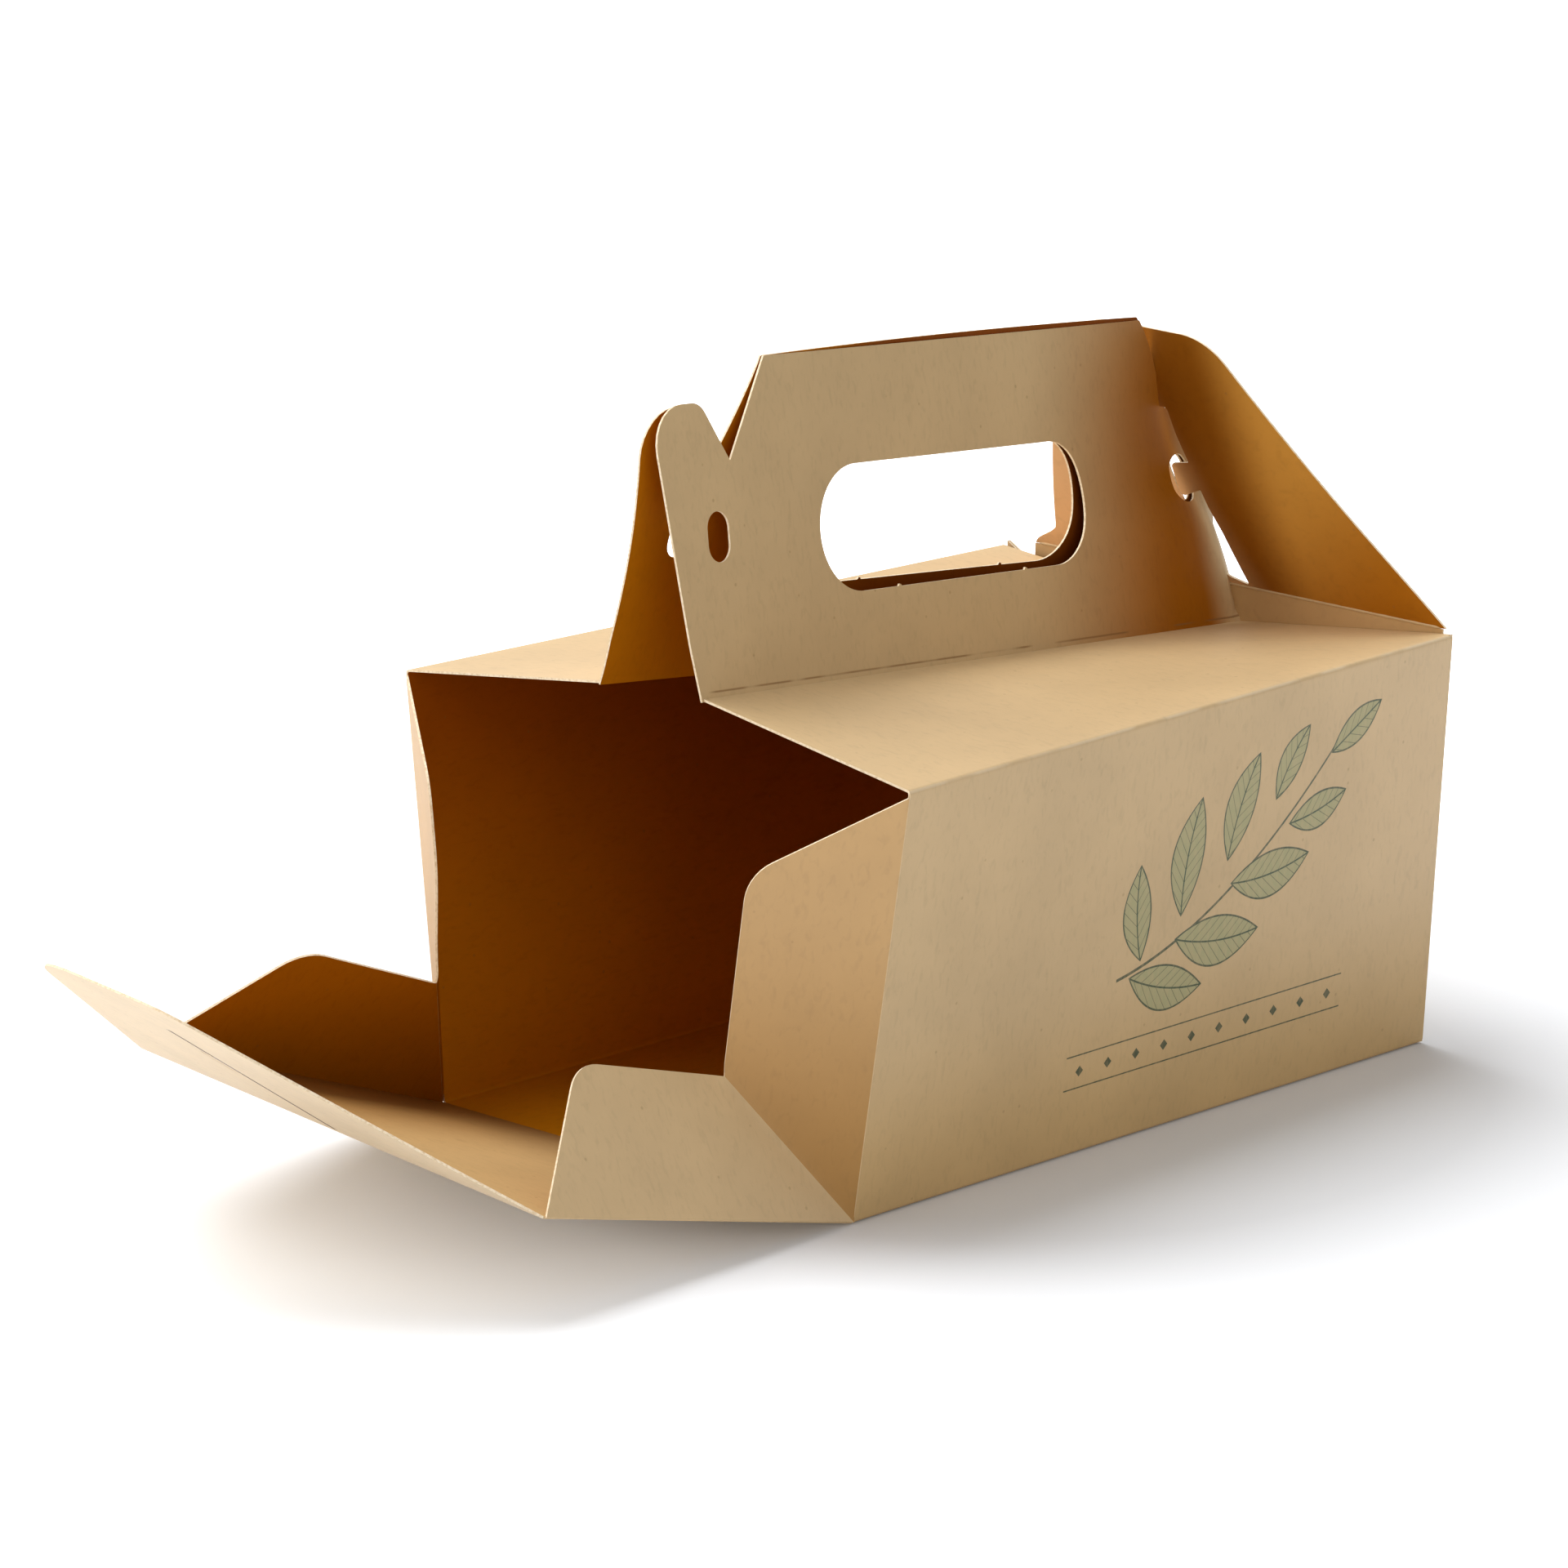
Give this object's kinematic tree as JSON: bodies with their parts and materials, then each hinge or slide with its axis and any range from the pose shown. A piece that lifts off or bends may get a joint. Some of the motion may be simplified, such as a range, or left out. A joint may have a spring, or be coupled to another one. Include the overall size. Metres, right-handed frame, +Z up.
{
  "type": "handled cake box",
  "caption": "Folded kraft card cake carton with a carry handle over its top, one end locked by a flap and the other standing open.",
  "frame": {"origin": "middle of the base between its four fold corners, on its underside", "axes": "+X along the box to the locked end (the open end is at -X), +Y across it to the back wall, +Z up"},
  "size_m": [0.3482, 0.1472, 0.1684],
  "materials": {
    "carton_body": "matte",
    "end_panel": "matte",
    "lock_flap": "matte",
    "wall_gusset_front": "matte",
    "wall_gusset_back": "matte",
    "end_gusset_front": "matte",
    "end_gusset_back": "matte"
  },
  "bodies": {
    "carton": {"carton_body": "carton_body"},
    "end_panel": {"end_panel": "end_panel"},
    "lock_flap": {"lock_flap": "lock_flap"},
    "wall_gusset_front": {"wall_gusset_front": "wall_gusset_front"},
    "wall_gusset_back": {"wall_gusset_back": "wall_gusset_back"},
    "end_gusset_front": {"end_gusset_front": "end_gusset_front"},
    "end_gusset_back": {"end_gusset_back": "end_gusset_back"}
  },
  "joints": [
    {"name": "end_panel_fold", "type": "hinge", "parent": "carton", "child": "end_panel", "pos_m": [-0.095, 0, 0.00025], "axis": [0, 1, 0], "range_deg": [-10, 64]},
    {"name": "lock_flap_fold", "type": "hinge", "parent": "end_panel", "child": "lock_flap", "pos_m": [-0.18519, 0, 0.02628], "axis": [0.023, 0.9965, 0.0798], "range_deg": [-48, 82]},
    {"name": "wall_gusset_front_fold", "type": "hinge", "parent": "carton", "child": "wall_gusset_front", "pos_m": [-0.095, -0.059, 0.00025], "axis": [0, -0.153, 0.9882], "range_deg": [-53, 9]},
    {"name": "wall_gusset_back_fold", "type": "hinge", "parent": "carton", "child": "wall_gusset_back", "pos_m": [-0.095, 0.059, 0.00025], "axis": [0, 0.153, 0.9882], "range_deg": [-9, 53]},
    {"name": "end_gusset_front_fold", "type": "hinge", "parent": "end_panel", "child": "end_gusset_front", "pos_m": [-0.09486, -0.059, 0.00083], "axis": [-0.974, 0, 0.2267], "range_deg": [-10, 58.5]},
    {"name": "end_gusset_back_fold", "type": "hinge", "parent": "end_panel", "child": "end_gusset_back", "pos_m": [-0.0948, 0.059, 0.00082], "axis": [-0.9449, 0, 0.3272], "range_deg": [-55, 10]}
  ],
  "couplings": [
    {"joint": "wall_gusset_front_fold", "follows": "end_panel_fold", "ratio": -0.81},
    {"joint": "wall_gusset_back_fold", "follows": "end_panel_fold", "ratio": 0.81},
    {"joint": "end_gusset_front_fold", "follows": "end_panel_fold", "ratio": 0.9},
    {"joint": "end_gusset_back_fold", "follows": "end_panel_fold", "ratio": -0.85}
  ]
}
